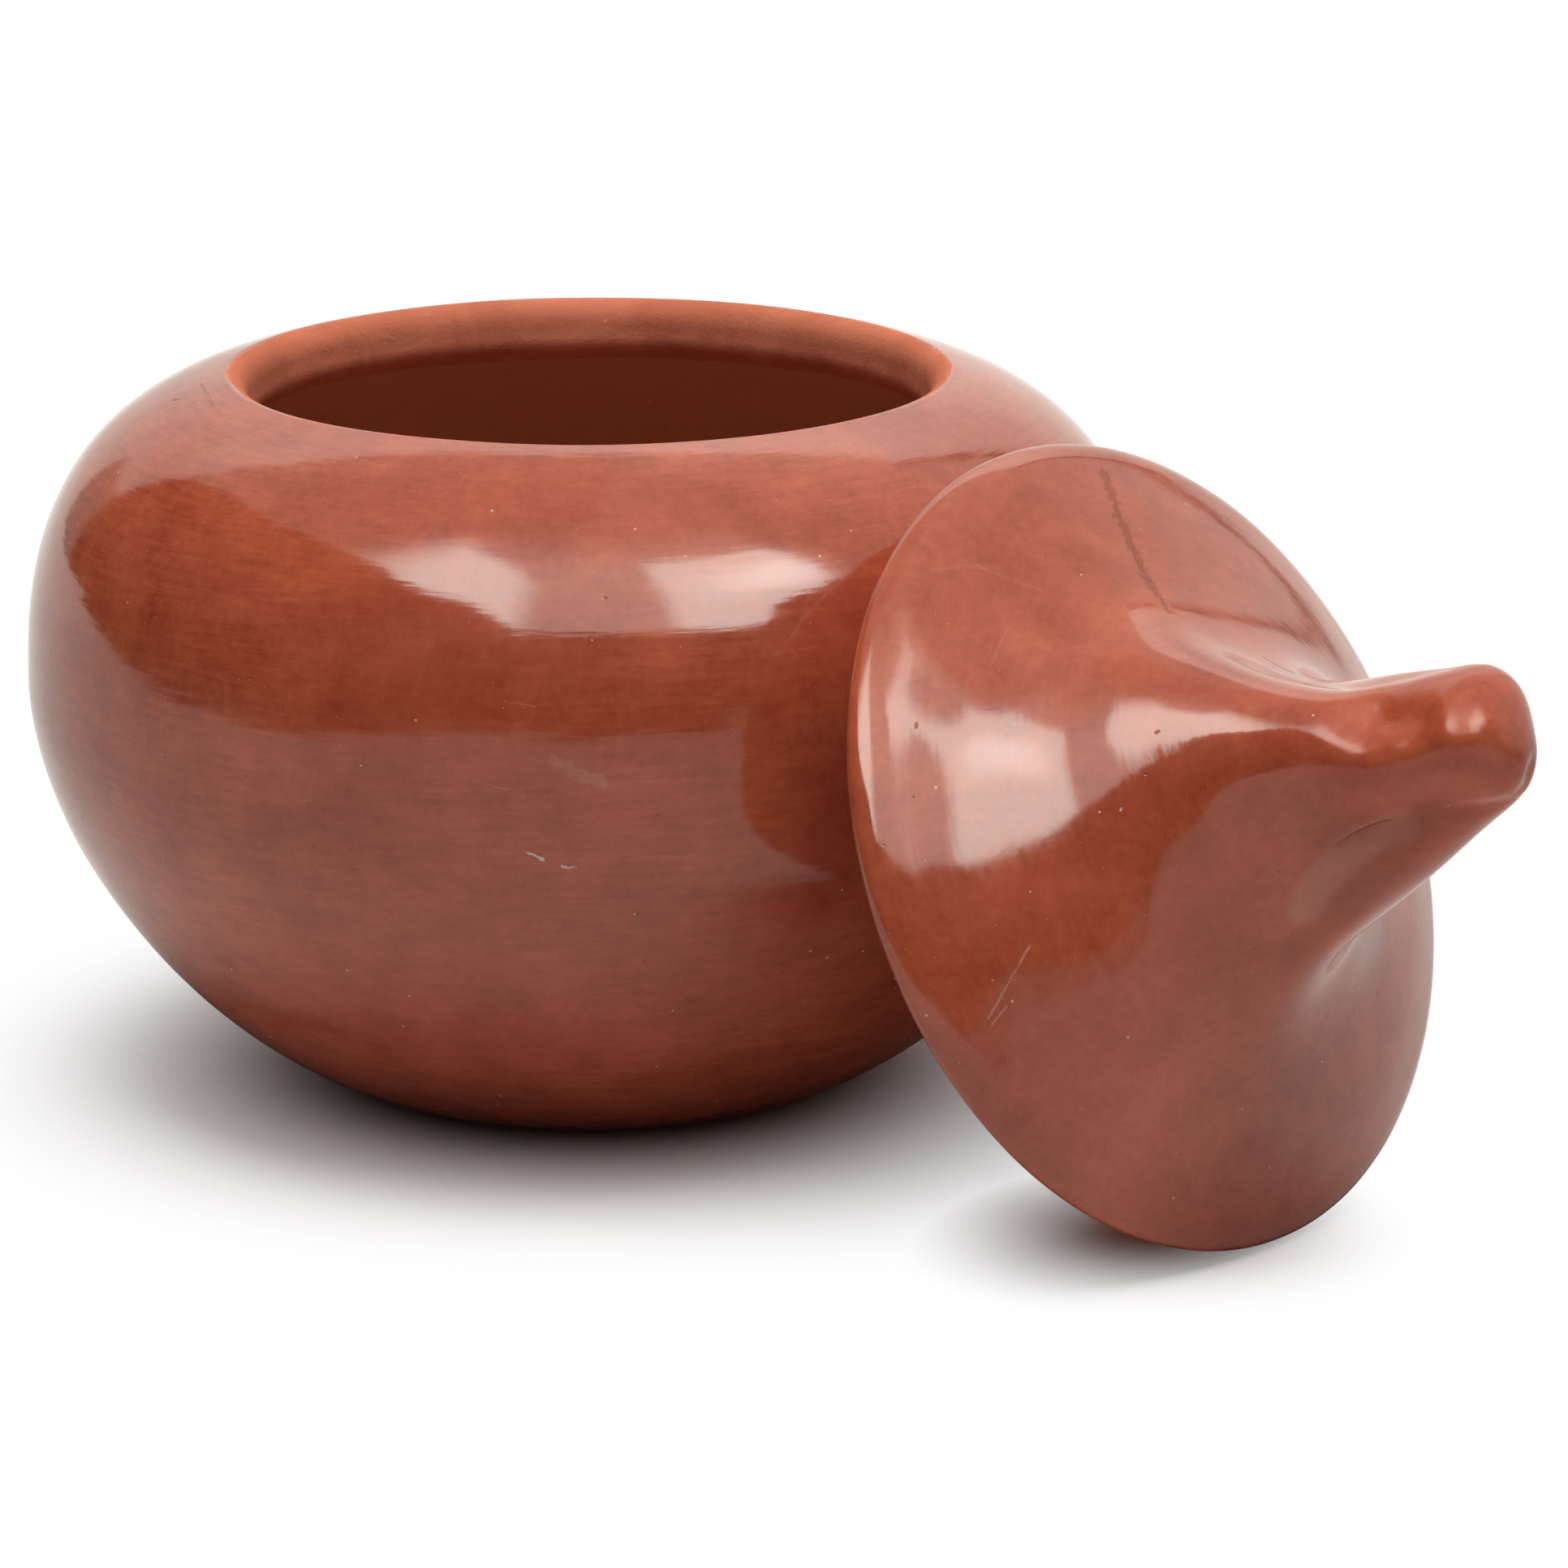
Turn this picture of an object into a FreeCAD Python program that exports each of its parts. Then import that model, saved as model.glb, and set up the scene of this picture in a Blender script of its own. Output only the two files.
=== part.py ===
import FreeCAD, Part
import math
import os
import Sketcher

# Burnished clay jar with its lid taken off.
# The jar is a squashed globe with a small flat base and a wide mouth without a collar.
# The lid is a hollow dome with a seating flange below and a twisted three-lobed knob,
# all one piece of clay.
# It stands on its rim and leans against the belly of the jar.
# Origin: centre of the jar's base. +Z is up. Millimetres and degrees.

SIZES = [
    ("base_radius", 34.4, "flat that the jar stands on"),
    ("base_spread", 20.8, "how far the foot curve leaves the base, outwards"),
    ("base_lift", 4.0, "and upwards"),
    ("belly_radius", 82.5, "widest part of the jar"),
    ("belly_height", 61.0, "its height above the base"),
    ("belly_round_below", 26.2, "upright stretch of the curve below the belly"),
    ("belly_round_above", 24.0, "and above it"),
    ("crest_reach", 21.9, "nearly level stretch of the curve at the crest"),
    ("crest_fall", 5.3, "how far that stretch falls outwards"),
    ("jar_height", 105.2, "crest of the rim above the base"),
    ("crest_radius", 52.6, "radius of the crest"),
    ("mouth_radius", 49.2, "radius of the mouth inside the lip"),
    ("lip_drop", 0.8, "fall of the bare lip from the crest"),
    ("lip_round", 3.0, "depth of the rounded lip"),
    ("neck_depth", 9.5, "height of the upright wall in the mouth"),
    ("jar_wall", 6.0, "clay thickness of the jar's side"),
    ("jar_floor", 7.0, "clay thickness of the jar's bottom"),
    ("lid_radius", 57.2, "outer radius of the lid"),
    ("lid_edge", 4.8, "thickness of the rounded lid edge"),
    ("edge_fall", 1.1, "how far the surface has drawn in above the edge"),
    ("shoulder_radius", 52.7, "radius at the dome's rounded shoulder"),
    ("shoulder_height", 7.4, "its height above the seat"),
    ("flange_radius", 47.5, "outer radius of the flange that drops into the mouth"),
    ("flange_depth", 5.5, "depth of the flange below the seat"),
    ("flange_wall", 5.5, "thickness of the flange"),
    ("hollow_height", 10.0, "top of the hollow under the lid above the seat"),
    ("hollow_round", 22.0, "level stretch of the curve at the top of the hollow"),
    ("crown_height", 10.6, "section above the shoulder, height above the seat"),
    ("crown_radius", 47.0, "radius there, still round"),
    ("sweep_height", 15.5, "section where the dome sweeps in, height above the seat"),
    ("sweep_lobe", 38.0, "radius at the lobes there"),
    ("sweep_groove", 36.5, "radius at the grooves there"),
    ("root_height", 23.0, "section at the root of the knob, height above the seat"),
    ("root_lobe", 28.0, "radius at the lobes there"),
    ("root_groove", 23.5, "radius at the grooves there"),
    ("foot_height", 33.0, "section at the foot of the knob, height above the seat"),
    ("foot_lobe", 21.0, "radius at the lobes there"),
    ("foot_groove", 15.0, "radius at the grooves there"),
    ("neck_height", 47.0, "section half way up the knob, height above the seat"),
    ("neck_lobe", 15.4, "radius at the lobes there"),
    ("neck_groove", 10.4, "radius at the grooves there"),
    ("grip_height", 59.0, "section below the tip, height above the seat"),
    ("grip_lobe", 11.4, "radius at the lobes there"),
    ("grip_groove", 8.8, "radius at the grooves there"),
    ("end_height", 65.2, "section where the tip rounds over, height above the seat"),
    ("end_lobe", 8.8, "radius at the lobes there"),
    ("end_groove", 7.6, "radius at the grooves there"),
    ("tip_height", 68.6, "end of the tip above the seat"),
    ("tip_radius", 4.2, "radius of the blunt end"),
    ("knob_turn", 150.0, "direction of the first lobe half way up, in the lid's own plane"),
    ("knob_twist_pitch", 330.0, "height in which the lobes would turn right round"),
    ("lean_turn", -41.2, "direction that the leaning lid faces, from +X towards +Y"),
    ("lean_back", 24.9, "tilt of the leaning lid from upright"),
    ("lean_side", -1.9, "how far the leaning lid stands to the side of the jar's middle"),
    ("lean_gap", 0.3, "clearance where the lid leans on the jar"),
]

LOBES = 3
QUARTERS = 4
SECTION_POLES = 12
CURVE_DEGREE = 3
POLE_WEIGHT = 1.0
FULL_TURN = 360.0
HALF_SHARE = 0.5
LEAN_STEPS = 40
MM3_PER_CM3 = 1000.0
UPRIGHT = FreeCAD.Vector(0, 0, 1)

# How a sketch numbers its own axes and origin, and the points of what is drawn in it.
LEVEL_AXIS = -1
UPRIGHT_AXIS = -2
ORIGIN = (-1, 1)
START = 1
END = 2
CENTRE = 3
LINE_POINTS = 2


class Size:
    """A size that knows its value and the words that bind it to the sheet."""

    def __init__(self, value, text):
        self.value = value
        self.text = text

    def __add__(self, other):
        return Size(self.value + other.value, f"({self.text} + {other.text})")

    def __sub__(self, other):
        return Size(self.value - other.value, f"({self.text} - {other.text})")

    def __mul__(self, share):
        return Size(self.value * share, f"({self.text} * {share:.12f})")

    def __truediv__(self, other):
        return Size(self.value / other.value, f"({self.text} / {other.text})")

    def __neg__(self):
        return Size(-self.value, f"(0 - {self.text})")


class Sizes:
    """The sheet's cells as Size values, by name."""

    def __init__(self, sheet):
        for name, value, _ in SIZES:
            setattr(self, name, Size(float(sheet.get(name)), f"{sheet.Name}.{name}"))


ZERO = Size(0.0, "0")


def fill_sheet(doc):
    """Write the driving sizes into the sheet, one row for each."""
    sheet = doc.addObject("Spreadsheet::Sheet", "Sizes")
    for row, (name, value, meaning) in enumerate(SIZES, start=1):
        sheet.set(f"A{row}", name)
        sheet.set(f"B{row}", str(value))
        sheet.set(f"C{row}", meaning)
        sheet.setAlias(f"B{row}", name)
    doc.recompute()
    return sheet


def new_body(doc, label):
    body = doc.addObject("PartDesign::Body", label)
    body.Label = label
    return body


def origin_plane(body, role):
    for feature in body.Origin.OriginFeatures:
        if feature.Role == role:
            return feature
    raise RuntimeError(f"{body.Label}: no {role}")


def new_sketch(body, name, plane_role):
    sketch = body.newObject("Sketcher::SketchObject", name)
    sketch.AttachmentSupport = [(origin_plane(body, plane_role), "")]
    sketch.MapMode = "FlatFace"
    return sketch


def vector(point):
    return FreeCAD.Vector(point[0].value, point[1].value, 0)


def bind_point(sketch, geometry, corner, point):
    """Hold a point of the sketch at a pair of sizes."""
    rules = (("DistanceX", UPRIGHT_AXIS, point[0]), ("DistanceY", LEVEL_AXIS, point[1]))
    for kind, axis, size in rules:
        if size is ZERO:
            sketch.addConstraint(Sketcher.Constraint("PointOnObject", geometry, corner, axis))
        else:
            rule = Sketcher.Constraint(kind, *ORIGIN, geometry, corner, size.value)
            index = sketch.addConstraint(rule)
            sketch.setExpression(f"Constraints[{index}]", size.text)


def add_poles(sketch, curve, poles, bound):
    """Show a curve's poles and hold the bound ones at their sizes."""
    for index, pole in enumerate(poles):
        marker = sketch.addGeometry(Part.Circle(vector(pole), UPRIGHT, POLE_WEIGHT), True)
        kind = "InternalAlignment:Sketcher::BSplineControlPoint"
        sketch.addConstraint(Sketcher.Constraint(kind, marker, CENTRE, curve, index))
        sketch.addConstraint(Sketcher.Constraint("Weight", marker, POLE_WEIGHT))
        if index in bound:
            bind_point(sketch, marker, CENTRE, pole)


def join(sketch, before, after):
    """Make one stretch of an outline start where the one before it ends."""
    sketch.addConstraint(Sketcher.Constraint("Coincident", before, END, after, START))


def draw_outline(sketch, stretches):
    """Draw a closed outline from stretches of two points (straight) or four (curved).

    Each stretch starts where the one before it ends, and the last ends at the first.
    """
    made = []
    for place, points in enumerate(stretches):
        last = place == len(stretches) - 1
        if len(points) == LINE_POINTS:
            line = Part.LineSegment(vector(points[0]), vector(points[-1]))
            geometry = sketch.addGeometry(line, False)
            if place == 0:
                bind_point(sketch, geometry, START, points[0])
            if not last:
                bind_point(sketch, geometry, END, points[-1])
        else:
            poles = [vector(point) for point in points]
            curve = Part.BSplineCurve(poles, None, None, False, CURVE_DEGREE, None, False)
            geometry = sketch.addGeometry(curve, False)
            free = len(points) - 1 if last else len(points)
            add_poles(sketch, geometry, points, range(1, free))
        if made:
            join(sketch, made[-1], geometry)
        made.append(geometry)
    join(sketch, made[-1], made[0])


def revolve(body, sketch, name, kind):
    """Turn an outline right round the upright axis, to add to the body or to cut it."""
    turned = body.newObject(kind, name)
    turned.Profile = sketch
    turned.ReferenceAxis = (sketch, ["V_Axis"])
    turned.Angle = FULL_TURN


def make_jar(doc, size):
    """The jar: outside and inside curves turned round the upright axis."""
    body = new_body(doc, "jar_body")
    sketch = new_sketch(body, "JarOutline", "XZ_Plane")
    foot = (size.base_radius, ZERO)
    belly = (size.belly_radius, size.belly_height)
    crest = (size.crest_radius, size.jar_height)
    lip = (size.mouth_radius, size.jar_height - size.lip_round)
    neck = (size.mouth_radius, size.jar_height - size.neck_depth)
    inner_belly = (size.belly_radius - size.jar_wall, size.belly_height)
    floor_edge = (size.base_radius, size.jar_floor)
    floor_middle = (ZERO, size.jar_floor)
    below = size.belly_height - size.belly_round_below
    above = size.belly_height + size.belly_round_above
    round_radius = size.crest_radius + size.crest_reach
    round_height = size.jar_height - size.crest_fall
    draw_outline(sketch, [
        [(ZERO, ZERO), foot],
        [foot, (size.base_radius + size.base_spread, size.base_lift),
         (size.belly_radius, below), belly],
        [belly, (size.belly_radius, above), (round_radius, round_height), crest],
        [crest, (size.crest_radius - (size.crest_radius - size.mouth_radius) * HALF_SHARE,
                 size.jar_height - size.lip_drop * HALF_SHARE),
         (size.mouth_radius, size.jar_height - size.lip_drop), lip],
        [lip, neck],
        [neck, (round_radius - size.jar_wall, neck[1]),
         (inner_belly[0], above - size.jar_wall), inner_belly],
        [inner_belly, (inner_belly[0], below),
         (size.base_radius + size.base_spread - size.jar_wall, size.base_lift + size.jar_floor),
         floor_edge],
        [floor_edge, floor_middle],
        [floor_middle, (ZERO, ZERO)],
    ])
    revolve(body, sketch, "JarTurned", "PartDesign::Revolution")
    return body


def pole_share(step):
    """How much further out than an even cubic curve its poles stand, at this step apart."""
    return 3 / (2 + math.cos(step))


def lobed_section(body, name, size, height, lobe, groove):
    """One section across the lid: a closed smooth curve, round or with lobes and grooves.

    The curve cuts inside its poles, so each pole stands further out than the curve,
    by one share for the roundness and by a larger one for the lobes.
    """
    sketch = new_sketch(body, name, "XY_Plane")
    middle = FreeCAD.Vector(0, 0, height.value)
    turn = size.knob_turn + (height - size.neck_height) * FULL_TURN / size.knob_twist_pitch
    sketch.AttachmentOffset = FreeCAD.Placement(middle, FreeCAD.Rotation(UPRIGHT, turn.value))
    sketch.setExpression("AttachmentOffset.Base.z", height.text)
    sketch.setExpression("AttachmentOffset.Rotation.Angle", turn.text)
    step = math.tau / SECTION_POLES
    round_share = pole_share(step)
    lobe_share = pole_share(LOBES * step)
    mean = (lobe + groove) * HALF_SHARE
    swing = (lobe - groove) * HALF_SHARE
    poles = []
    for index in range(SECTION_POLES):
        angle = index * step
        reach = mean * round_share + swing * (lobe_share * math.cos(LOBES * angle))
        quarter, rest = divmod(QUARTERS * index, SECTION_POLES)
        along = ZERO if rest == 0 and quarter % 2 else reach * math.cos(angle)
        across = ZERO if rest == 0 and not quarter % 2 else reach * math.sin(angle)
        poles.append((along, across))
    points = [vector(pole) for pole in poles]
    curve = Part.BSplineCurve(points, None, None, True, CURVE_DEGREE, None, False)
    geometry = sketch.addGeometry(curve, False)
    add_poles(sketch, geometry, poles, range(len(poles)))
    return sketch


def make_lid(doc, size):
    """The lid: the dome and knob in one skin, the flange under it, and the hollow."""
    body = new_body(doc, "lid")
    edge_round = size.lid_edge * HALF_SHARE
    seat_radius = size.lid_radius - edge_round
    drawn_in = size.lid_radius - size.edge_fall
    sections = [
        ("Seat", ZERO, seat_radius, seat_radius),
        ("Edge", edge_round, size.lid_radius, size.lid_radius),
        ("Brow", size.lid_edge, drawn_in, drawn_in),
        ("Shoulder", size.shoulder_height, size.shoulder_radius, size.shoulder_radius),
        ("Crown", size.crown_height, size.crown_radius, size.crown_radius),
        ("Sweep", size.sweep_height, size.sweep_lobe, size.sweep_groove),
        ("Root", size.root_height, size.root_lobe, size.root_groove),
        ("Foot", size.foot_height, size.foot_lobe, size.foot_groove),
        ("Neck", size.neck_height, size.neck_lobe, size.neck_groove),
        ("Grip", size.grip_height, size.grip_lobe, size.grip_groove),
        ("End", size.end_height, size.end_lobe, size.end_groove),
        ("Tip", size.tip_height, size.tip_radius, size.tip_radius),
    ]
    sketches = [lobed_section(body, name, size, *rest) for name, *rest in sections]
    doc.recompute()
    loft = body.newObject("PartDesign::AdditiveLoft", "DomeAndKnob")
    loft.Profile = sketches[0]
    loft.Sections = sketches[1:]
    loft.Ruled = False
    doc.recompute()
    under = -size.flange_depth
    flange = new_sketch(body, "FlangeOutline", "XZ_Plane")
    draw_outline(flange, [
        [(ZERO, under), (size.flange_radius, under)],
        [(size.flange_radius, under), (size.flange_radius, edge_round)],
        [(size.flange_radius, edge_round), (ZERO, edge_round)],
        [(ZERO, edge_round), (ZERO, under)],
    ])
    revolve(body, flange, "FlangeTurned", "PartDesign::Revolution")
    inner_radius = size.flange_radius - size.flange_wall
    hollow = new_sketch(body, "HollowOutline", "XZ_Plane")
    hollow_top = (ZERO, size.hollow_height)
    hollow_foot = (inner_radius, under)
    draw_outline(hollow, [
        [hollow_top, (size.hollow_round, size.hollow_height), (inner_radius, edge_round),
         hollow_foot],
        [hollow_foot, (ZERO, under)],
        [(ZERO, under), hollow_top],
    ])
    revolve(body, hollow, "HollowTurned", "PartDesign::Groove")
    return body


def leaning_placement(size, distance):
    """The lid on its rim, tilted back towards the jar, at a distance from the jar's axis."""
    turn = math.radians(size.lean_turn.value)
    back = math.radians(size.lean_back.value)
    outwards = FreeCAD.Vector(math.cos(turn), math.sin(turn), 0)
    level = FreeCAD.Vector(-math.sin(turn), math.cos(turn), 0)
    facing = outwards * math.cos(back) + FreeCAD.Vector(0, 0, math.sin(back))
    uphill = facing.cross(level)
    rotation = FreeCAD.Rotation(level, uphill, facing, "ZXY")
    place = outwards * distance - level * size.lean_side.value
    return FreeCAD.Placement(place, rotation)


def lowest_point(solid, reach):
    """Height of a solid's lowest point, measured from a level sheet well below it."""
    corner = FreeCAD.Vector(-reach, -reach, -reach)
    sheet = Part.makePlane(2 * reach, 2 * reach, corner)
    return solid.distToShape(sheet)[0] - reach


def lean_lid(size, jar, lid):
    """Stand the lid on its rim and bring it up to the jar until only the clearance is left."""
    solid = lid.Shape.copy()
    distance = size.belly_radius.value + size.lid_radius.value + size.tip_height.value
    solid.Placement = leaning_placement(size, distance)
    lift = FreeCAD.Vector(0, 0, -lowest_point(solid, 2 * distance))
    for _ in range(LEAN_STEPS):
        place = leaning_placement(size, distance)
        place.Base += lift
        solid.Placement = place
        spare = solid.distToShape(jar.Shape)[0] - size.lean_gap.value
        distance -= spare
        if spare < size.lean_gap.value / LEAN_STEPS:
            break
    lid.Placement = place
    return distance


def check(doc, bodies):
    """Stop on a failed object or on a sub-part that isn't one valid solid."""
    for item in doc.Objects:
        for word in item.State:
            if "Invalid" in word or "Error" in word:
                raise RuntimeError(f"{item.Name}: {item.State}")
    for body in bodies:
        shape = body.Shape
        if shape.isNull() or not shape.isValid() or len(shape.Solids) != 1:
            raise RuntimeError(f"{body.Label}: not one valid solid")


def main():
    doc = FreeCAD.newDocument("LiddedJar")
    size = Sizes(fill_sheet(doc))
    jar = make_jar(doc, size)
    lid = make_lid(doc, size)
    doc.recompute()
    check(doc, [jar, lid])
    distance = lean_lid(size, jar, lid)
    doc.recompute()
    check(doc, [jar, lid])
    os.makedirs("parts", exist_ok=True)
    for body in (jar, lid):
        body.Shape.exportStep(f"parts/{body.Label}.step")
        box = body.Shape.BoundBox
        print(body.Label, f"volume {body.Shape.Volume / MM3_PER_CM3:.1f} cm3", box)
    gap = lid.Shape.distToShape(jar.Shape)[0]
    print(f"lid {distance:.2f} mm from the jar's axis, {gap:.3f} mm from the jar")


main()
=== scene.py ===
import math

import bpy
import numpy as np
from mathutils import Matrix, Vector, noise


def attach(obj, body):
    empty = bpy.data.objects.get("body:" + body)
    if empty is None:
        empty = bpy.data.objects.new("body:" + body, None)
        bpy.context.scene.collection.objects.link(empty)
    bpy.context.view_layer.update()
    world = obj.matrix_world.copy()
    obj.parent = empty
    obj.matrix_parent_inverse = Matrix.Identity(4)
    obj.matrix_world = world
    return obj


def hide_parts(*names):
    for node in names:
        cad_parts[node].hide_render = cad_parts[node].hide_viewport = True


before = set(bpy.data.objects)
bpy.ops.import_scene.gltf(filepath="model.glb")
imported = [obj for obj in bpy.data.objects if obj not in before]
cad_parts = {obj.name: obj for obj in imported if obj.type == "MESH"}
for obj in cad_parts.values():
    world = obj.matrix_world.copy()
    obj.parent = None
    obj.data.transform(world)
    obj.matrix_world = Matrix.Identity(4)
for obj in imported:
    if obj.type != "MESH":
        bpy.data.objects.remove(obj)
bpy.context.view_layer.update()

# A burnished clay jar and its lid, in metres, in the frame of the CAD model.
# The jar stands on its base at the origin. The lid leans against it on its rim.

TURN = math.tau
MM = 0.001


# Shapes

def stretch(poles, count):
    """Points along a line of two poles or a cubic curve of four, without the last one."""
    t = np.linspace(0.0, 1.0, count, endpoint=False)[:, None]
    p = np.asarray(poles, float)
    if len(p) == 2:
        return p[0] * (1 - t) + p[1] * t
    return (1 - t) ** 3 * p[0] + 3 * (1 - t) ** 2 * t * p[1] + 3 * (1 - t) * t ** 2 * p[2] + t ** 3 * p[3]


def natural_spline(x, y, q):
    """Values at q of the smooth curve through the points x, y."""
    n = len(x)
    h = np.diff(x)
    rows = np.zeros((n, n))
    right = np.zeros(n)
    rows[0, 0] = rows[-1, -1] = 1.0
    for i in range(1, n - 1):
        rows[i, i - 1], rows[i, i], rows[i, i + 1] = h[i - 1], 2 * (h[i - 1] + h[i]), h[i]
        right[i] = 6 * ((y[i + 1] - y[i]) / h[i] - (y[i] - y[i - 1]) / h[i - 1])
    c = np.linalg.solve(rows, right)
    i = np.clip(np.searchsorted(x, q) - 1, 0, n - 2)
    t = q - x[i]
    slope = (y[i + 1] - y[i]) / h[i] - h[i] * (2 * c[i] + c[i + 1]) / 6
    return y[i] + t * slope + t ** 2 * c[i] / 2 + t ** 3 * (c[i + 1] - c[i]) / (6 * h[i])


def along(points):
    """Distance along a run of points."""
    steps = np.linalg.norm(np.diff(points, axis=0), axis=1)
    return np.concatenate([[0.0], np.cumsum(steps)])


def spin(radius, height, angles):
    """Rings of points from a column of radii and one of heights."""
    return np.stack([radius * np.cos(angles), radius * np.sin(angles), height + 0 * angles], axis=2)


def waves(points, size, seed):
    """Smooth unevenness between -1 and 1 at each point, with bumps of the given size."""
    shift = Vector((seed * 7.31, seed * 3.17, seed * 5.77))
    return np.array([noise.noise(Vector(p) / size + shift) for p in points])


def hollows_of_hand(rings, layers, top=0.9):
    """How far the shaping by hand falls below the true form, in shares of its depth, 0 at most."""
    flat = rings.reshape(-1, 3)
    total = sum(waves(flat * (1.0, 1.0, squeeze), size, seed) * share
                for squeeze, size, seed, share in layers)
    return (np.minimum(total, top) - top).reshape(rings.shape[:2])


def ring_mesh(name, rings, first_pole, last_pole):
    """Closed mesh from rings of points (rings, around, 3), with a pole at each end."""
    count, around = rings.shape[:2]
    points = np.concatenate([rings.reshape(-1, 3), [first_pole], [last_pole]])
    a = np.arange(around)
    b = (a + 1) % around
    faces = []
    for i in range(count - 1):
        low, high = i * around, (i + 1) * around
        faces.append(np.stack([low + a, low + b, high + b, high + a], axis=1))
    quads = np.concatenate(faces)
    start, end = count * around, count * around + 1
    fans = np.concatenate([
        np.stack([np.full(around, start), b, a], axis=1),
        np.stack([np.full(around, end), (count - 1) * around + a, (count - 1) * around + b], axis=1),
    ])
    mesh = bpy.data.meshes.new(name)
    mesh.from_pydata(points.tolist(), [], quads.tolist() + fans.tolist())
    mesh.polygons.foreach_set("use_smooth", [True] * len(mesh.polygons))
    mesh.update()
    obj = bpy.data.objects.new(name, mesh)
    bpy.context.scene.collection.objects.link(obj)
    return obj


def add_vectors(obj, name, values):
    layer = obj.data.attributes.new(name, "FLOAT_VECTOR", "POINT")
    layer.data.foreach_set("vector", np.asarray(values, np.float32).ravel())


def add_floats(obj, name, values):
    layer = obj.data.attributes.new(name, "FLOAT", "POINT")
    layer.data.foreach_set("value", np.asarray(values, np.float32).ravel())


def paint_bare(obj, edge):
    """Second material for the faces past the edge of the rubbed slip."""
    bare = np.zeros(len(obj.data.vertices), np.float32)
    obj.data.attributes["bare"].data.foreach_get("value", bare)
    start = np.zeros(len(obj.data.polygons), int)
    obj.data.polygons.foreach_get("loop_start", start)
    vertex = np.zeros(len(obj.data.loops), int)
    obj.data.loops.foreach_get("vertex_index", vertex)
    past = bare[vertex[start]] > edge
    obj.data.polygons.foreach_set("material_index", past.astype(np.int32))


def brush_space(angles, distance, reach):
    """A place for every point in which streaks that run round the piece are straight."""
    turned = np.stack([np.cos(angles), np.sin(angles)], axis=1) * reach
    rows = [np.column_stack([turned, np.full(len(angles), d)]) for d in distance]
    ends = [[0.0, 0.0, distance[0]], [0.0, 0.0, distance[-1]]]
    return np.concatenate([np.concatenate(rows), ends])


def past_slip(distance, around):
    """For every point and both poles, how far it lies past the place where the slip ends."""
    every = np.repeat(distance, around)
    return np.concatenate([every, [every[0], every[-1]]])


# Jar

JAR_AROUND = 448
BASE_RADIUS, BELLY, BELLY_HEIGHT = 34.4, 82.5, 61.0
CREST_RADIUS, JAR_HEIGHT = 52.6, 105.2
LIP_FOOT, NECK_BEND, CEILING_EDGE = (49.1, 101.4), (48.8, 99.6), (55.6, 94.8)
JAR_WALL, JAR_FLOOR, CENTRE_HOLE = 6.0, 7.0, 3.0
INNER_BELLY = BELLY - JAR_WALL
OUTSIDE = (
    # poles in millimetres from the axis and above the floor, and the number of points
    # underside, lower body, upper body
    (((CENTRE_HOLE, 0.0), (BASE_RADIUS, 0.0)), 12),
    (((BASE_RADIUS, 0.0), (55.2, 4.0), (BELLY, 34.8), (BELLY, BELLY_HEIGHT)), 110),
    (((BELLY, BELLY_HEIGHT), (BELLY, 85.0), (74.5, 99.9), (CREST_RADIUS, JAR_HEIGHT)), 110),
)
INSIDE = (
    # lip, neck, turn into the ceiling, upper body, lower body, floor
    (((CREST_RADIUS, JAR_HEIGHT), (50.7, 104.8), (49.5, 103.7), LIP_FOOT), 26),
    ((LIP_FOOT, NECK_BEND), 4),
    ((NECK_BEND, (48.5, 97.4), (49.6, 95.0), CEILING_EDGE), 26),
    ((CEILING_EDGE, (69.0, 94.2), (INNER_BELLY, 79.0), (INNER_BELLY, BELLY_HEIGHT)), 70),
    (((INNER_BELLY, BELLY_HEIGHT), (INNER_BELLY, 34.8), (49.2, 11.0), (BASE_RADIUS, JAR_FLOOR)), 70),
    (((BASE_RADIUS, JAR_FLOOR), (CENTRE_HOLE, JAR_FLOOR)), 13),
)
# depth of the unevenness in millimetres, how much more of it there is inside, and the
# distances over which it grows from the floor up and from the crest inwards
JAR_UNEVEN, UNEVEN_MORE_INSIDE, UNEVEN_FROM_FLOOR, UNEVEN_FROM_CREST = 0.16, 1.2, 6.0, 3.0
JAR_WAVES = (
    # upright squeeze, size in millimetres, seed, share
    (2.2, 34.0, 1, 0.62), (3.0, 15.0, 2, 0.26), (3.5, 7.0, 3, 0.07),
)
JAR_STREAK_REACH = 0.075


def make_jar():
    outside = np.concatenate([stretch(poles, count) for poles, count in OUTSIDE])
    inside = np.concatenate([stretch(poles, count) for poles, count in INSIDE])
    profile = np.concatenate([outside, inside])
    distance = along(profile)
    from_crest = distance - distance[len(outside)]
    angles = np.linspace(0.0, TURN, JAR_AROUND, endpoint=False)
    rings = spin(profile[:, :1], profile[:, 1:], angles)
    slope = np.gradient(profile, axis=0)
    slope /= np.linalg.norm(slope, axis=1)[:, None]
    out = spin(slope[:, 1:], -slope[:, :1], angles)
    depth = hollows_of_hand(rings, JAR_WAVES) * JAR_UNEVEN
    near_floor = np.clip(rings[:, :, 2] / UNEVEN_FROM_FLOOR, 0.0, 1.0)
    within = np.clip(from_crest / UNEVEN_FROM_CREST, 0.0, 1.0)[:, None]
    moved = rings + out * (depth * near_floor * (1 + UNEVEN_MORE_INSIDE * within))[:, :, None]
    jar = ring_mesh("jar_burnished", moved * MM, (0.0, 0.0, 0.0), (0.0, 0.0, JAR_FLOOR * MM))
    add_vectors(jar, "brush", brush_space(angles, distance * MM, JAR_STREAK_REACH))
    add_floats(jar, "bare", past_slip(from_crest * MM, JAR_AROUND))
    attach(jar, "jar")
    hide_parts("jar_body")
    return jar


# Lid, in its own frame: x level, y uphill, z out along the knob, in millimetres

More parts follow.
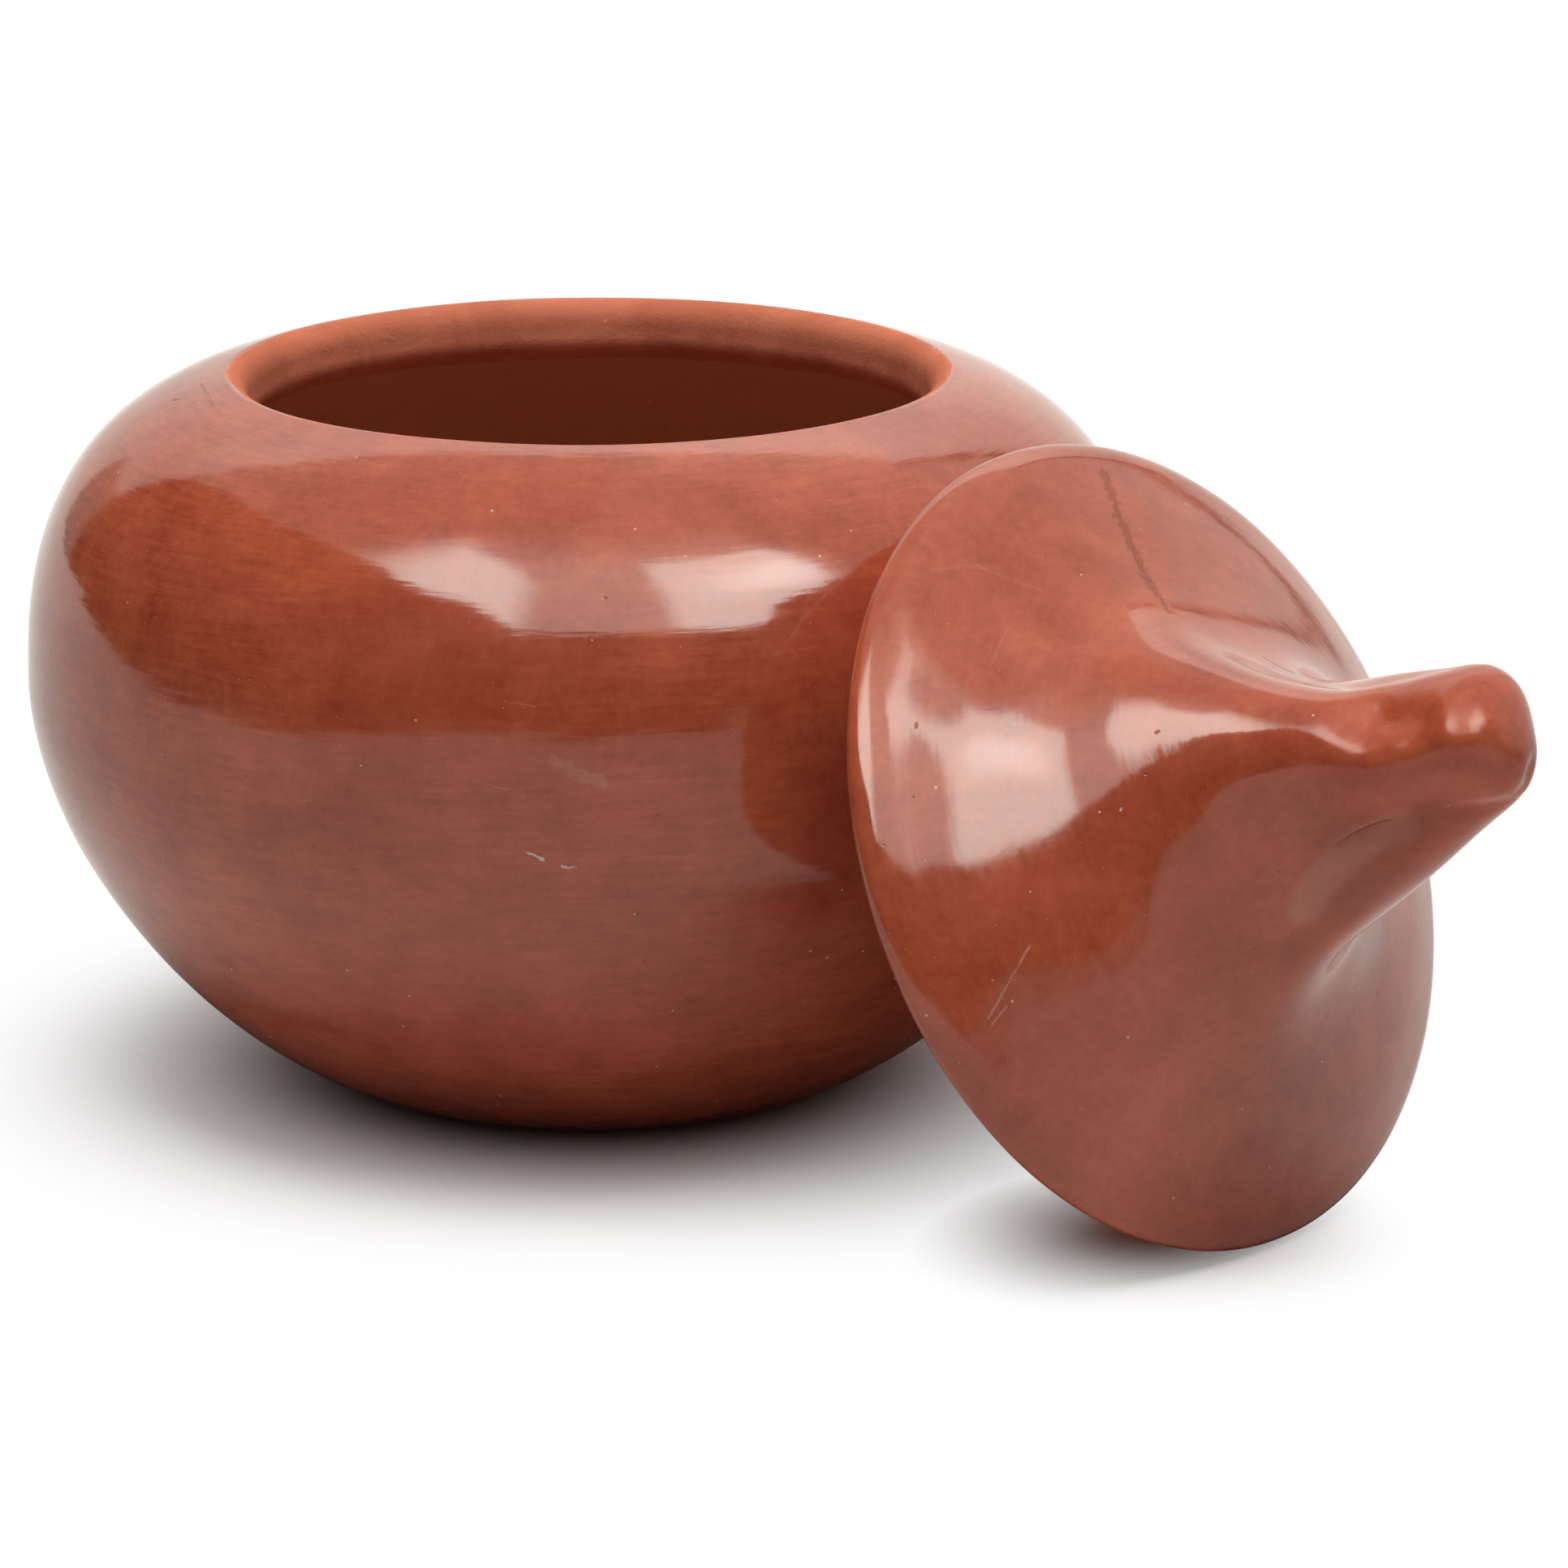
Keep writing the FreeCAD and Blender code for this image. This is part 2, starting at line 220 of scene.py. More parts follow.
LID_AROUND, RIM_STEPS, DOME_STEPS, TIP_STEPS = 480, 70, 250, 22
LID_ORIGIN = Vector((76.96, -64.85, 51.07))
LEAN_TURN, LEAN_BACK = math.radians(-41.2), math.radians(24.9)
SECTIONS = (
    # height above the seat, radius at the lobes, radius at the grooves
    (0.0, 54.8, 54.8), (2.4, 57.2, 57.2), (4.8, 56.1, 56.1), (7.4, 52.7, 52.7), (10.6, 47.0, 47.0),
    (15.5, 38.0, 36.5), (23.0, 28.0, 23.5), (33.0, 21.0, 15.0), (47.0, 15.4, 10.4),
    (59.0, 11.4, 8.8), (65.2, 8.8, 7.6), (68.6, 4.2, 4.2),
)
LAST_RIM_SECTION = 4
LOBES, FIRST_LOBE, LOBE_HEIGHT, TWIST_PITCH = 3, math.radians(150.0), 47.0, 330.0
TIP_HEIGHT, DOME_FOOT, TIP_TAPER = 68.5, 63.6, 0.24
HOLLOW_HEIGHT = 10.0
UNDERSIDE = (
    # poles in millimetres from the axis and above the seat, and the number of points:
    # seat, corner, flange outside, its lower edge in two stretches, hollow under the dome
    (((54.8, 0.0), (54.0, -0.02), (50.0, 0.0), (48.6, 0.0)), 10),
    (((48.6, 0.0), (47.9, 0.0), (47.5, -0.3), (47.5, -1.0)), 6),
    (((47.5, -1.0), (47.4, -3.9)), 5),
    (((47.4, -3.9), (47.3, -5.0), (46.6, -5.5), (45.2, -5.5)), 8),
    (((45.2, -5.5), (44.0, -5.5), (42.3, -5.3), (42.1, -4.0)), 8),
    (((42.1, -4.0), (41.6, 2.9), (22.0, HOLLOW_HEIGHT), (1.5, HOLLOW_HEIGHT)), 60),
)
VALLEYS = (
    # line of (degrees, height) places, depth, width, share of the line that fades at each end
    # fold on the knob's lower side and the crease in it
    (((243, 30), (232, 33.5), (222, 37.5), (217.5, 41), (216, 45), (217, 49), (224, 52.5), (236, 56)),
     0.18, 1.6, 0.25),
    (((218.5, 41), (216.5, 44.5), (217.5, 48.5), (221, 51.5)), 0.13, 0.60, 0.45),
    # dimple for the thumb and its sharper lower end
    (((147, 54), (150, 56.5), (153, 59)), 2.3, 4.4, 0.0),
    (((138, 53), (162, 53.5)), 0.6, 2.4, 0.0),
    # trough at the root, on the right
    (((298, 17), (304, 22), (312, 29)), 0.25, 4.0, 0.3),
)
SWELLINGS = (
    # size, and line of (degrees, radius, height, amount) places; an amount below 0 takes clay away
    # full root of the knob on the left
    (8.5, ((132, 26.0, 23.0, 2.6), (150, 25.5, 23.0, 3.6), (165, 25.0, 23.5, 4.2), (185, 21.5, 27.5, 4.2),
           (203, 18.0, 33.0, 4.1), (214, 15.5, 40.0, 4.2), (219, 13.0, 49.0, 2.6))),
    # soft runs from the root over the dome to the rim
    (9.0, ((142, 40.0, 14.2, 1.3), (165, 38.0, 15.1, 1.5), (190, 38.0, 15.1, 1.7), (215, 33.0, 18.0, 1.5))),
    (8.0, ((158, 58.0, 6.0, 1.1), (157, 48.0, 10.0, 1.1), (158, 40.0, 14.0, 0.8))),
    (7.0, ((172, 54.0, 6.5, 0.8), (188, 48.0, 10.0, 1.0))),
    # root of the upper lobe and of the lower one
    (6.5, ((112, 28.0, 21.5, 0.8), (124, 25.0, 25.0, 1.3), (136, 21.0, 31.0, 1.4), (140, 17.5, 37.0, 0.8))),
    (6.5, ((222, 31.0, 19.5, 0.9), (232, 27.0, 23.0, 1.0))),
    # shallow sink of the dome above the left root
    (7.0, ((126, 52.0, 8.5, -0.8), (127, 42.0, 13.0, -1.0))),
    # roll along the lower lobe, bulge below the dimple
    (3.2, ((236, 10.5, 54.0, 0.5), (238, 13.0, 48.5, 0.9), (241, 16.0, 43.0, 1.0), (245, 19.5, 37.5, 0.7),
           (249, 23.0, 32.0, 0.3))),
    (2.8, ((186, 11.8, 49.5, 0.3), (185, 11.4, 54.0, 0.9), (186, 10.6, 58.5, 0.4))),
    # top edge of the knob: flattened, with a narrow ridge
    (5.0, ((98, 10.6, 50.0, -0.8), (99, 9.6, 60.0, -0.8))),
    (2.3, ((98, 10.6, 49.0, 0.9), (99, 9.6, 60.0, 0.9))),
    (2.8, ((111, 11.8, 50.0, 0.6), (114, 10.8, 56.0, 0.9), (118, 9.6, 61.5, 0.8))),
    # notch at the tip
    (1.1, ((240, 9.6, 58.0, -0.5), (262, 8.6, 61.6, -0.9), (285, 7.6, 64.8, -1.1), (297, 6.6, 67.0, -1.1))),
    # fill of the trough under the knob
    (4.2, ((283, 24.0, 25.5, 0.7), (295, 25.0, 22.5, 1.3), (307, 28.5, 19.5, 0.9))),
)
# heights over which the carving fades in: start, and length of the fade
VALLEYS_FROM, SWELLINGS_FROM = (8.0, 6.0), (4.0, 8.0)
LID_UNEVEN = 0.15
LID_WAVES = (
    # upright squeeze, size in millimetres, seed, share
    (1.0, 22.0, 11, 0.6), (1.0, 9.0, 12, 0.26), (1.0, 5.0, 13, 0.08),
)
LID_STREAK_REACH = 0.045


def lid_frame():
    """Turns a place in the lid's own frame into the row frame, in millimetres."""
    outwards = Vector((math.cos(LEAN_TURN), math.sin(LEAN_TURN), 0.0))
    level = Vector((-math.sin(LEAN_TURN), math.cos(LEAN_TURN), 0.0))
    facing = outwards * math.cos(LEAN_BACK) + Vector((0.0, 0.0, math.sin(LEAN_BACK)))
    uphill = facing.cross(level)
    return np.array([level, uphill, facing]), np.array(LID_ORIGIN)


def valley(angles, height, radius, line, depth, width, fade):
    """A hollow that follows a line of (degrees, height) places on the knob."""
    spots = np.array([(math.radians(a), h) for a, h in line])
    fine = np.linspace(0.0, len(spots) - 1.0, 12 * len(spots))
    path = np.stack([np.interp(fine, np.arange(len(spots)), spots[:, i]) for i in (0, 1)], axis=1)
    best = np.full(np.broadcast(angles, height).shape, 1e9)
    strength = np.zeros_like(best)
    for share, (a, h) in zip(fine / fine[-1], path):
        off = (angles - a + math.pi) % TURN - math.pi
        far = (off * radius) ** 2 + (height - h) ** 2
        ends = min(1.0, min(share, 1 - share) / fade) if fade else 1.0
        strength = np.where(far < best, ends, strength)
        best = np.minimum(best, far)
    return -depth * strength * np.exp(-best / width ** 2)


def swell(points, size, line):
    """Height of a smooth swelling along a line of (degrees, radius, height, amount) places."""
    spots = np.array([(r * math.cos(math.radians(a)), r * math.sin(math.radians(a)), h, amount)
                      for a, r, h, amount in line])
    run = along(spots[:, :3])
    count = max(2, int(3 * run[-1] / size) + 1)
    fine = np.stack([np.interp(np.linspace(0.0, run[-1], count), run, spots[:, k]) for k in range(4)], axis=1)
    gap = run[-1] / (count - 1)
    total = np.zeros(points.shape[:-1])
    for x, y, z, amount in fine:
        total += amount * np.exp(-0.5 * ((points - (x, y, z)) ** 2).sum(axis=-1) / size ** 2)
    return total * gap / (size * math.sqrt(TURN))


def outside_of_lid(angles):
    """Rings of the dome and the twisted knob, up to the foot of the domed tip."""
    table = np.array(SECTIONS)
    mean = (table[:, 1] + table[:, 2]) / 2
    swing = (table[:, 1] - table[:, 2]) / 2
    reach = along(np.stack([mean, table[:, 0]], axis=1))
    steps = np.concatenate([np.linspace(0.0, reach[LAST_RIM_SECTION], RIM_STEPS, endpoint=False),
                            np.linspace(reach[LAST_RIM_SECTION], reach[-1], DOME_STEPS)])
    height, mean, swing = [natural_spline(reach, column, steps)[:, None]
                           for column in (table[:, 0], mean, swing)]
    lobe = FIRST_LOBE + (height - LOBE_HEIGHT) * TURN / TWIST_PITCH
    radius = mean + swing * np.cos(LOBES * (angles - lobe))
    sculpt = sum(valley(angles, height, radius, *stroke) for stroke in VALLEYS)
    start, length = VALLEYS_FROM
    radius = radius + sculpt * np.clip((height - start) / length, 0.0, 1.0)
    keep = height[:, 0] < DOME_FOOT
    return spin(radius[keep], height[keep], angles)


def domed_tip(foot):
    """Rings that close the knob over its last ring."""
    rings = []
    for q in np.linspace(0.0, math.pi / 2, TIP_STEPS)[1:-1]:
        shrink = math.cos(q) * (1.0 - TIP_TAPER * math.sin(q) * (1.0 - math.sin(q)))
        top = DOME_FOOT + (TIP_HEIGHT - DOME_FOOT) * math.sin(q)
        rings.append(np.stack([foot[:, 0] * shrink, foot[:, 1] * shrink, top + 0 * foot[:, 2]], axis=1))
    return np.stack(rings)


def make_lid():
    angles = np.linspace(0.0, TURN, LID_AROUND, endpoint=False)
    outer = outside_of_lid(angles[None, :])
    under = np.concatenate([stretch(poles, count) for poles, count in UNDERSIDE])[1:]
    below = spin(under[:, :1], under[:, 1:], angles[None, :])
    rings = np.concatenate([below[::-1], outer, domed_tip(outer[-1])])
    first, last = np.array((0.0, 0.0, HOLLOW_HEIGHT)), np.array((0.0, 0.0, TIP_HEIGHT))
    steps = np.linalg.norm(np.diff(rings, axis=0), axis=2).mean(axis=1)
    distance = np.concatenate([[0.0], np.cumsum(steps)])
    out = np.cross(np.roll(rings, -1, axis=1) - np.roll(rings, 1, axis=1), np.gradient(rings, axis=0))
    out /= np.maximum(np.linalg.norm(out, axis=2), 1e-9)[:, :, None]
    start, length = SWELLINGS_FROM
    above_rim = np.clip((rings[..., 2] - start) / length, 0.0, 1.0)
    carved = sum(swell(rings, *stroke) for stroke in SWELLINGS) * above_rim ** 2 * (3.0 - 2.0 * above_rim)
    rings = rings + out * carved[..., None]
    rings = rings + out * (hollows_of_hand(rings, LID_WAVES) * LID_UNEVEN)[:, :, None]
    turn, origin = lid_frame()
    lid = ring_mesh("lid_burnished", (rings @ turn + origin) * MM, (first @ turn + origin) * MM,
                    (last @ turn + origin) * MM)
    add_vectors(lid, "brush", brush_space(angles, distance * MM, LID_STREAK_REACH))
    add_vectors(lid, "own", np.concatenate([rings.reshape(-1, 3), [first], [last]]) * MM)
    add_floats(lid, "bare", past_slip((distance[len(below)] - distance) * MM, LID_AROUND))
    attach(lid, "lid")
    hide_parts("lid")
    return lid


# Materials

class Tree:
    """Short ways to add nodes. An input may be a number, a colour or another node's socket."""

    def __init__(self, tree):
        self.tree = tree
        tree.nodes.clear()

    def put(self, kind, values=(), **settings):
        node = self.tree.nodes.new(kind)
        for name, value in settings.items():
            setattr(node, name, value)
        for key, value in dict(values).items():
            self.set(node.inputs[key], value)
        return node

    def set(self, socket, value):
        if isinstance(value, bpy.types.NodeSocket):
            self.tree.links.new(value, socket)
        else:
            socket.default_value = value

    def math(self, operation, a, b=0.0, c=0.0, clamp=False):
        node = self.put("ShaderNodeMath", {0: a, 1: b}, operation=operation, use_clamp=clamp)
        if operation in ("MULTIPLY_ADD", "WRAP"):
            self.set(node.inputs[2], c)
        return node.outputs[0]

    def product(self, first, *rest):
        for value in rest:
            first = self.math("MULTIPLY", first, value)
        return first

    def weighted(self, total, *parts):
        """A start and each value times its weight, added up."""
        for value, weight in parts:
            total = self.math("MULTIPLY_ADD", value, weight, total)
        return total

    def vector(self, operation, a, b=None, scale=None):
        node = self.put("ShaderNodeVectorMath", {0: a}, operation=operation)
        if b is not None:
            self.set(node.inputs[1], b)
        if scale is not None:
            self.set(node.inputs[3], scale)
        return node.outputs["Value" if operation in ("LENGTH", "DOT_PRODUCT", "DISTANCE") else "Vector"]

    def split(self, vector):
        return self.put("ShaderNodeSeparateXYZ", {0: vector}).outputs

    def ramp(self, value, low, high, out_low=0.0, out_high=1.0):
        """Smooth change from one number to another while the value goes from low to high."""
        node = self.put("ShaderNodeMapRange", {0: value, 1: low, 2: high, 3: out_low, 4: out_high},
                        interpolation_type="SMOOTHSTEP")
        return node.outputs[0]

    def window(self, value, start, full, fall, end):
        """1 from full to fall, and 0 before start and after end."""
        return self.product(self.ramp(value, start, full), self.ramp(value, end, fall))

    def noise(self, where, scale=1.0, detail=2.0, rough=0.5, swirl=0.0):
        node = self.put("ShaderNodeTexNoise", {"Vector": where, "Scale": scale, "Detail": detail,
                                               "Roughness": rough, "Distortion": swirl})
        return node.outputs[0]

    def swings(self, where, scale=1.0, detail=2.0, rough=0.5, swirl=0.0):
        """Noise around 0."""
        return self.math("SUBTRACT", self.noise(where, scale, detail, rough, swirl), 0.5)

    def mix(self, share, a, b):
        node = self.put("ShaderNodeMix", data_type="RGBA")
        for index, value in ((0, share), (6, a), (7, b)):
            self.set(node.inputs[index], value)
        return node.outputs[2]

    def mix_shaders(self, share, a, b):
        return self.put("ShaderNodeMixShader", {0: share, 1: a, 2: b}).outputs[0]

    def diffuse(self, colour, **inputs):
        return self.put("ShaderNodeBsdfDiffuse", {"Color": colour, **inputs}).outputs[0]

    def glow(self, colour, strength):
        return self.put("ShaderNodeEmission", {"Color": colour, "Strength": strength}).outputs[0]

    def bump(self, height, strength=1.0):
        values = {"Strength": strength, "Distance": 1.0, "Height": height}
        return self.put("ShaderNodeBump", values).outputs[0]

    def attribute(self, name, output="Vector"):
        node = self.put("ShaderNodeAttribute", attribute_name=name, attribute_type="GEOMETRY")
        return node.outputs[output]


def new_material(name):
    material = bpy.data.materials.new(name)
    material.use_nodes = True
    return material, Tree(material.node_tree)


def specks(t, where, cell, size, seed):
    """Small round spots where grains in the clay reach the surface."""
    moved = t.vector("ADD", where, (seed, seed * 0.37, seed * 0.71))
    node = t.put("ShaderNodeTexVoronoi", {"Vector": moved, "Scale": 1.0 / cell}, feature="F1")
    return t.ramp(node.outputs["Distance"], size / cell, 0.45 * size / cell)


def mark(t, where, fray, points, width, ragged):
    """A scratch, scuff, or painted band of sheen or shade along a run of places on the surface, in
    millimetres.
    """
    frayed = t.vector("ADD", where, t.vector("SCALE", fray, scale=ragged * MM))
    nearest = 1.0
    for start, end in zip(points[:-1], points[1:]):
        start, end = Vector(start) * MM, Vector(end) * MM
        length = (end - start).length
        line = (end - start) / length
        off = t.vector("SUBTRACT", frayed, tuple(start))
        share = t.math("MINIMUM", t.math("MAXIMUM", t.vector("DOT_PRODUCT", off, tuple(line)), 0.0), length)
        away = t.vector("DISTANCE", off, t.vector("SCALE", tuple(line), scale=share))
        nearest = t.math("MINIMUM", away, nearest)
    return t.ramp(nearest, width * MM, 0.35 * width * MM)


def strokes(t, brush, lean, along, across, detail=2.0):
    """Marks of the rubbing stone: long thin noise that runs round the piece, leaning a little."""
    tilted = t.vector("DOT_PRODUCT", brush, (lean, -0.6 * lean, 1.0))
    x, y, _ = t.split(brush)
    where = t.put("ShaderNodeCombineXYZ", {0: x, 1: y, 2: tilted}).outputs[0]
    return t.swings(t.vector("MULTIPLY", where, (along, along, across)), 1.0, detail, 0.55)


SLIP_DARK, SLIP_LIGHT = (0.330, 0.054, 0.025, 1), (0.575, 0.128, 0.058, 1)
CLAY_DARK, CLAY_LIGHT = (0.600, 0.176, 0.100, 1), (0.800, 0.255, 0.148, 1)
CLAY_GRAIN, CLAY_WORN = (0.760, 0.320, 0.200, 1), (0.600, 0.170, 0.088, 1)
# painted shade for the neck inside the mouth, and the pale clay deep inside
NECK_PAINTED_SHADE, CLAY_INSIDE = (0.300, 0.100, 0.052, 1), (0.560, 0.265, 0.165, 1)
TEMPER_PALE, TEMPER_DARK = (0.80, 0.60, 0.50, 1), (0.14, 0.030, 0.014, 1)
# scale, detail, roughness and swirl of the noises, for places in metres
CLOUD, PATCH, DUST = (26.0, 4.0, 0.55, 0.4), (110.0, 5.0, 0.62, 0.3), (780.0, 3.0, 0.65)
SPOT, GRAIN, STAIN = (62.0, 3.0, 0.5, 0.8), (1900.0, 3.0, 0.6), (60.0, 5.0, 0.62, 0.8)
SPOT_SHIFT = (0.31, 0.17, 0.05)
POLISH, BARE_ROUGHNESS = 0.10, 0.85
SLIP_IOR, BARE_IOR = 1.52, 1.15
# distances past the crest of the jar or the seat's edge of the lid, in metres
JAR_SLIP_END, JAR_BARE_FROM = -0.0002, 0.0006
LID_SLIP_END, LID_BARE_FROM = 0.0012, 0.0020
NO_SLIP, SLIP_FADE = -1.0, 0.0008
KNOB_DULL_FROM, KNOB_DULL_FADE = 0.040, 0.012


def bare_colour(t, place, inner, patch, grain, stain, bare):
    """Colour of the clay without slip: worn at the lip, painted shade on the neck, pale deep inside."""
    clay = t.mix(t.ramp(stain, 0.36, 0.66), CLAY_DARK, CLAY_LIGHT)
    clay = t.mix(t.ramp(grain, 0.45, 0.75, 0.0, 0.2), clay, CLAY_GRAIN)
    clay = t.mix(t.product(bare, t.ramp(inner, 0.0090, 0.0020), 0.50), clay, CLAY_WORN)
    depth = t.weighted(inner, (patch, 0.0040))
    # painted shade: the neck below the lip darkens where its wall turns away into the cavity
    clay = t.mix(t.ramp(depth, 0.0070, 0.0135, 0.0, 0.85), clay, NECK_PAINTED_SHADE)
    return t.mix(t.ramp(depth, 0.0095, 0.0150), clay, CLAY_INSIDE)


def clay_material(name, own_space, slip_end, marks=(), ior=SLIP_IOR, facets=1.0, lines=1.0, dull_from=None):
    """Red slip rubbed with a smooth stone, as far as slip_end, and bare smoothed clay past it."""
    material, t = new_material(name)
    place = t.attribute("own") if own_space else t.put("ShaderNodeTexCoord").outputs["Object"]
    brush = t.attribute("brush")
    wide = t.math("ADD", strokes(t, brush, lean=0.05, along=24.0, across=330.0),
                  strokes(t, brush, lean=-0.07, along=20.0, across=290.0))
    fine = t.math("ADD", strokes(t, brush, lean=0.03, along=70.0, across=900.0, detail=3.0),
                  strokes(t, brush, lean=-0.05, along=95.0, across=1100.0, detail=3.0))
    hair = strokes(t, brush, lean=-0.02, along=220.0, across=3300.0)
    cloud, patch, dust = [t.swings(place, *look) for look in (CLOUD, PATCH, DUST)]
    spot = t.swings(t.vector("ADD", place, SPOT_SHIFT), *SPOT)
    grain, stain = t.noise(place, *GRAIN), t.noise(place, *STAIN)

    inner = t.attribute("bare", "Fac")
    bare = t.ramp(t.weighted(inner, (patch, 0.0030)), slip_end, slip_end + SLIP_FADE)

    # colour
    streaks = t.weighted(t.math("MULTIPLY", wide, 0.22), (fine, 0.52), (hair, 0.45))
    wear = t.product(t.ramp(cloud, -0.22, 0.22, 0.35, 1.35), lines)
    tone = t.weighted(t.math("MULTIPLY_ADD", streaks, wear, 0.5), (cloud, 0.70), (spot, 0.75), (patch, 1.15))
    slip = t.mix(t.math("MULTIPLY_ADD", dust, 0.70, tone, clamp=True), SLIP_DARK, SLIP_LIGHT)
    colour = t.mix(bare, slip, bare_colour(t, place, inner, patch, grain, stain, bare))
    pale = t.math("MAXIMUM", specks(t, place, 0.0052, 0.00026, 0.31), specks(t, place, 0.0021, 0.00009, 0.83))
    dark = specks(t, place, 0.0066, 0.00024, 0.57)
    colour = t.mix(t.math("MULTIPLY", pale, 0.62), colour, TEMPER_PALE)
    colour = t.mix(t.math("MULTIPLY", dark, 0.6), colour, TEMPER_DARK)
    scars_and_painted_bands = 0.0
    if marks:
        fray = t.put("ShaderNodeTexNoise", {"Vector": place, "Scale": 900.0, "Detail": 2.0}).outputs[1]
        fray = t.vector("SUBTRACT", fray, (0.5, 0.5, 0.5))
    # each mark lays its colour over the slip: scratches, pits and chips, and on the lid's knob a painted
    # sheen band and a painted shade band
    for points, width, ragged, tint, strength in marks:
        scar_and_painted_band = t.math("MULTIPLY", mark(t, place, fray, points, width, ragged), strength)
        colour = t.mix(scar_and_painted_band, colour, tint)
        scars_and_painted_bands = t.math("MAXIMUM", scars_and_painted_bands, scar_and_painted_band)

    # height in metres
    height = t.weighted(t.math("MULTIPLY", wide, 34e-6), (fine, 8e-6), (hair, 2.2e-6))
    height = t.weighted(t.math("MULTIPLY", height, facets), (patch, 22e-6), (dust, 3e-6), (dark, -40e-6))
    if marks:
        height = t.weighted(height, (scars_and_painted_bands, -40e-6))
    rough_height = t.math("MULTIPLY", t.math("SUBTRACT", grain, 0.5), 70e-6)
    rough_height = t.weighted(rough_height, (t.math("SUBTRACT", stain, 0.5), 450e-6))
    height = t.math("ADD", t.math("MULTIPLY", height, t.math("SUBTRACT", 1.0, bare)),
                    t.math("MULTIPLY", rough_height, bare))

    # polish; the knob is duller, where hands hold it
    shine = t.weighted(POLISH, (fine, 0.06), (patch, 0.10), (dust, 0.08))
    specular = 0.5
    if dull_from is not None:
        dull = t.ramp(t.split(place)[2], dull_from, dull_from + KNOB_DULL_FADE)
        shine = t.weighted(shine, (dull, 0.12))
        specular = t.math("MULTIPLY_ADD", dull, -0.15, specular)
    shine = t.weighted(shine, (pale, 0.3))
    if marks:
        shine = t.weighted(shine, (scars_and_painted_bands, 0.50))
    roughness = t.math("MAXIMUM", shine, t.math("MULTIPLY", bare, BARE_ROUGHNESS))
    shader = t.put("ShaderNodeBsdfPrincipled", {
        "Base Color": colour, "Roughness": roughness, "Normal": t.bump(height), "IOR": ior,
        "Specular IOR Level": specular})
    t.put("ShaderNodeOutputMaterial", {"Surface": shader.outputs[0]})
    return material


DARK, PALE, WHITE = (0.17, 0.034, 0.016, 1), (0.66, 0.33, 0.24, 1), (0.86, 0.76, 0.69, 1)
JAR_MARKS = (
    # places in millimetres, width, fraying, colour, strength
    # nicks on the left of the shoulder
    (((-55.8, -7.1, 104.1), (-52.8, -21.1, 103.8)), 0.42, 1.0, DARK, 0.42),
    (((-59.4, -11.1, 102.5), (-58.9, -11.6, 102.6)), 0.70, 0.5, DARK, 0.55),
    # scuff and fine scratches in the middle of the belly
    (((-2.2, -82.1, 67.9), (3.8, -82.2, 65.1)), 1.30, 2.4, PALE, 0.26),
    (((-9.1, -80.5, 76.0), (-5.1, -81.0, 75.4)), 0.22, 0.5, PALE, 0.16),
    (((-13.6, -81.1, 65.2), (-9.1, -81.8, 64.0)), 0.20, 0.5, PALE, 0.16),
    # two white chips, and a pit above them
    (((-6.1, -81.7, 55.0), (-4.2, -81.7, 54.4)), 0.44, 1.5, WHITE, 0.70),
    (((-1.8, -81.6, 53.1), (0.1, -81.6, 53.0)), 0.34, 1.5, WHITE, 0.55),
    (((4.2, -76.1, 89.1), (4.6, -76.0, 89.1)), 0.32, 0.2, DARK, 0.70),
)
LID_MARKS = (
    # the same, in the lid's own frame
    # painted sheen along the roll of the lower lobe, and painted shade along the fold beside it
    (((-8.3, -8.4, 51.3), (-9.7, -8.5, 48.3), (-11.1, -9.1, 45.1), (-12.2, -10.6, 41.9),
      (-13.1, -12.3, 38.6), (-13.2, -14.9, 35.5)), 3.4, 0.8, PALE, 0.28),
    (((-6.7, -8.1, 54.7), (-8.0, -11.0, 49.9), (-9.1, -13.7, 45.3), (-9.9, -16.3, 39.9),
      (-10.7, -18.2, 34.6), (-12.4, -19.5, 30.3)), 3.4, 0.8, DARK, 0.20),
    # long dark scar on the upper side
    (((9.2, 50.5, 8.0), (3.9, 42.5, 12.6), (-0.5, 33.4, 17.6), (-2.2, 29.0, 20.7)),
     1.20, 2.8, DARK, 0.58),
    # pits and a chip in the highlights
    (((-44.9, 24.4, 8.8), (-44.7, 24.7, 8.8)), 0.36, 0.2, DARK, 0.75),
    (((-22.7, 13.6, 29.0), (-22.6, 13.7, 29.3)), 0.34, 0.2, DARK, 0.65),
    (((-28.6, 5.4, 23.9), (-28.4, 5.6, 24.0)), 0.22, 0.2, WHITE, 0.50),
    # scratches near the lower rim and near the left rim
    (((-49.0, -15.0, 8.4), (-42.9, -7.7, 13.8)), 0.26, 0.3, PALE, 0.42),
    (((-48.7, -16.0, 8.3), (-46.7, -14.3, 10.0)), 0.24, 0.3, PALE, 0.34),
    (((-29.7, 43.8, 7.0), (-25.3, 43.2, 8.4), (-21.0, 41.5, 10.4)), 0.42, 0.8, PALE, 0.08),
    (((-23.6, 42.7, 9.2), (-17.7, 36.9, 13.6)), 0.42, 0.8, PALE, 0.08),
    (((-31.7, 29.1, 13.0), (-25.3, 33.6, 12.8)), 0.32, 0.6, PALE, 0.09),
    # scar above the knob's root, and two pits below it
    (((8.1, 18.9, 25.4), (9.4, 15.9, 28.2)), 0.75, 1.0, DARK, 0.40),
    (((16.7, -25.6, 18.1), (17.2, -26.2, 17.8)), 0.45, 0.5, DARK, 0.85),
    (((20.0, -29.6, 15.7), (20.2, -29.9, 15.6)), 0.28, 0.3, DARK, 0.85),
)


# Studio

